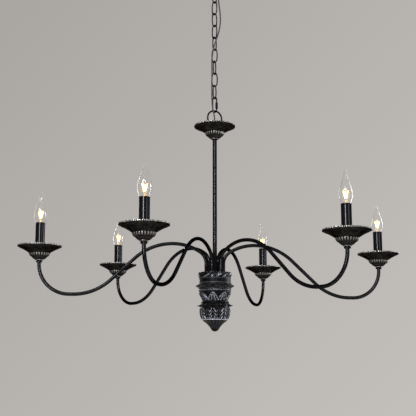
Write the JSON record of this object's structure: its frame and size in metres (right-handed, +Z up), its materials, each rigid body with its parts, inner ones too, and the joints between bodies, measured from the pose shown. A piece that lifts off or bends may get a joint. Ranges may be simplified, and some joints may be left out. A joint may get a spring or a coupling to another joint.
{
  "type": "multi arm chandelier",
  "caption": "Chain-hung chandelier with S-curved iron arms, flared drip pans, candle sleeves and flame-tip bulbs around a cast hub.",
  "frame": {"origin": "centre of the mounting strap's upper face, on the ceiling", "axes": "+Z up along the stem axis, +X along the strap's length and towards the first arm"},
  "size_m": [1.1, 0.9688, 1.095],
  "materials": {
    "iron_black": "hand-brushed black iron, silver-grey on raised detail",
    "sleeve_black": "glossy black candle tube",
    "bulb_glass": "clear flame-tip glass with warm filament",
    "cord_black": "black round flexible cord",
    "zinc_steel": "zinc plated",
    "brass": "plain",
    "wire_white": "insulated wire",
    "connector_plastic": "moulded",
    "holder_plastic": "moulded phenolic"
  },
  "bodies": {
    "ceiling": {"mounting_strap": "zinc_steel", "ground_screw": "brass", "threaded_nipple": "zinc_steel", "nipple_nut": "zinc_steel", "canopy": "iron_black", "canopy_collar": "iron_black", "canopy_loop": "iron_black", "supply_cord": "cord_black"},
    "link_1": {"chain_link_1": "iron_black"},
    "link_2": {"chain_link_2": "iron_black"},
    "link_3": {"chain_link_3": "iron_black"},
    "link_4": {"chain_link_4": "iron_black"},
    "link_5": {"chain_link_5": "iron_black"},
    "link_6": {"chain_link_6": "iron_black"},
    "link_7": {"chain_link_7": "iron_black"},
    "link_8": {"chain_link_8": "iron_black"},
    "link_9": {"chain_link_9": "iron_black"},
    "quick_link": {"quick_link": "iron_black"},
    "quick_link_nut": {"quick_link_nut": "iron_black"},
    "hanging_ring": {"hanging_ring": "iron_black"},
    "fixture": {"stem_eye": "iron_black", "top_cup": "iron_black", "stem_nuts": "zinc_steel", "stem_tube": "iron_black", "tie_rod": "zinc_steel", "stem_lead": "wire_white", "hub_crown": "iron_black", "arm_plate": "zinc_steel", "hub_flange": "iron_black", "hub_neck": "iron_black", "hub_leaf_collar": "iron_black", "hub_body": "iron_black", "hub_disc": "iron_black", "hub_finial": "iron_black", "wire_connectors": "connector_plastic", "arm_1": "iron_black", "arm_2": "iron_black", "arm_3": "iron_black", "arm_4": "iron_black", "arm_5": "iron_black", "arm_6": "iron_black", "arm_leads": "wire_white", "arm_nuts": "zinc_steel", "pan_nuts": "zinc_steel", "pan_collars": "iron_black", "drip_pan_1": "iron_black", "drip_pan_2": "iron_black", "drip_pan_3": "iron_black", "drip_pan_4": "iron_black", "drip_pan_5": "iron_black", "drip_pan_6": "iron_black", "candle_sleeves": "sleeve_black", "lamp_holders": "holder_plastic"},
    "bulb_1": {"bulb_1": "bulb_glass"},
    "bulb_2": {"bulb_2": "bulb_glass"},
    "bulb_3": {"bulb_3": "bulb_glass"},
    "bulb_4": {"bulb_4": "bulb_glass"},
    "bulb_5": {"bulb_5": "bulb_glass"},
    "bulb_6": {"bulb_6": "bulb_glass"}
  },
  "joints": [
    {"name": "link_1_swing", "type": "hinge", "parent": "ceiling", "child": "link_1", "pos_m": [0, 0, -0.0796], "axis": [-0.5736, 0.8192, 0], "range_deg": [-20, 20], "deforming": ["supply_cord"]},
    {"name": "link_2_swing", "type": "hinge", "parent": "link_1", "child": "link_2", "pos_m": [0, 0, -0.1164], "axis": [0.8192, 0.5736, 0], "range_deg": [-20, 20], "deforming": ["supply_cord"]},
    {"name": "link_3_swing", "type": "hinge", "parent": "link_2", "child": "link_3", "pos_m": [0, 0, -0.1539], "axis": [-0.7071, 0.7071, 0], "range_deg": [-20, 20], "deforming": ["supply_cord"]},
    {"name": "link_4_swing", "type": "hinge", "parent": "link_3", "child": "link_4", "pos_m": [0, 0, -0.1914], "axis": [-0.8829, -0.4695, 0], "range_deg": [-20, 20], "deforming": ["supply_cord"]},
    {"name": "link_5_swing", "type": "hinge", "parent": "link_4", "child": "link_5", "pos_m": [0, 0, -0.2289], "axis": [0.6691, -0.7431, 0], "range_deg": [-20, 20], "deforming": ["supply_cord"]},
    {"name": "link_6_swing", "type": "hinge", "parent": "link_5", "child": "link_6", "pos_m": [0, 0, -0.2664], "axis": [0.7431, 0.6691, 0], "range_deg": [-20, 20], "deforming": ["supply_cord"]},
    {"name": "link_7_swing", "type": "hinge", "parent": "link_6", "child": "link_7", "pos_m": [0, 0, -0.3039], "axis": [-0.8192, 0.5736, 0], "range_deg": [-20, 20], "deforming": ["supply_cord"]},
    {"name": "link_8_swing", "type": "hinge", "parent": "link_7", "child": "link_8", "pos_m": [0, 0, -0.3414], "axis": [-0.5736, -0.8192, 0], "range_deg": [-20, 20], "deforming": ["supply_cord"]},
    {"name": "link_9_swing", "type": "hinge", "parent": "link_8", "child": "link_9", "pos_m": [0, 0, -0.3789], "axis": [0.848, -0.5299, 0], "range_deg": [-20, 20], "deforming": ["supply_cord"]},
    {"name": "quick_link_swing", "type": "hinge", "parent": "link_9", "child": "quick_link", "pos_m": [0, 0, -0.4164], "axis": [0.6428, 0.766, 0], "range_deg": [-20, 20], "deforming": ["supply_cord"]},
    {"name": "quick_link_open", "type": "slide", "parent": "quick_link", "child": "quick_link_nut", "axis": [0, 0, 1], "range_m": [0, 0.0095]},
    {"name": "ring_swing", "type": "hinge", "parent": "quick_link", "child": "hanging_ring", "pos_m": [0, 0, -0.4584], "axis": [-0.6691, 0.7431, 0], "range_deg": [-20, 20], "deforming": ["supply_cord"]},
    {"name": "fixture_tilt", "type": "hinge", "parent": "hanging_ring", "child": "fixture", "pos_m": [0, 0, -0.4986], "axis": [-0.9703, -0.2419, 0], "range_deg": [-12, 12], "deforming": ["supply_cord"]},
    {"name": "bulb_1_unscrew", "type": "slide", "parent": "fixture", "child": "bulb_1", "axis": [0, 0, 1], "range_m": [0, 0.034]},
    {"name": "bulb_2_unscrew", "type": "slide", "parent": "fixture", "child": "bulb_2", "axis": [0, 0, 1], "range_m": [0, 0.034]},
    {"name": "bulb_3_unscrew", "type": "slide", "parent": "fixture", "child": "bulb_3", "axis": [0, 0, 1], "range_m": [0, 0.034]},
    {"name": "bulb_4_unscrew", "type": "slide", "parent": "fixture", "child": "bulb_4", "axis": [0, 0, 1], "range_m": [0, 0.034]},
    {"name": "bulb_5_unscrew", "type": "slide", "parent": "fixture", "child": "bulb_5", "axis": [0, 0, 1], "range_m": [0, 0.034]},
    {"name": "bulb_6_unscrew", "type": "slide", "parent": "fixture", "child": "bulb_6", "axis": [0, 0, 1], "range_m": [0, 0.034]}
  ]
}
